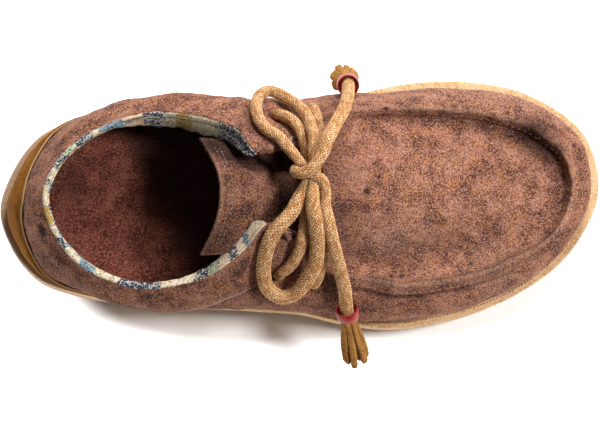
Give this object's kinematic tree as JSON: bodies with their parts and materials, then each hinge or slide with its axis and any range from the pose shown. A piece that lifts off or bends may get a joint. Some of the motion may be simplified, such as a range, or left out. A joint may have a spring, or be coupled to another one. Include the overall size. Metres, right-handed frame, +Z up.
{
  "type": "wool sneaker",
  "caption": "Low lace-up wool sneaker for the right foot with a raised moccasin seam, suede heel counter, rope laces with beads and tassels, and a thick tan sole",
  "frame": {"origin": "on the floor under the middle of the box of sole and upper", "axes": "+X to the toe, +Y to the inner side of the foot, +Z up"},
  "size_m": [0.2866, 0.1455, 0.1043],
  "materials": {
    "sole": "matte crepe",
    "insole": "matte felt",
    "wool": "matte felted heather",
    "counter": "suede",
    "lace": "braided cotton",
    "bead": "gloss",
    "tassel": "suede"
  },
  "bodies": {
    "root": {"sole": "sole", "insole": "insole", "upper": "wool", "tongue": "wool", "heel_counter": "counter", "lace_bars": "lace", "lace_knot": "lace", "lace_loop_medial": "lace", "lace_loop_lateral": "lace", "lace_end_medial": "lace", "lace_end_lateral": "lace", "bead_medial": "bead", "bead_lateral": "bead", "tassel_medial": "tassel", "tassel_lateral": "tassel"}
  },
  "joints": []
}
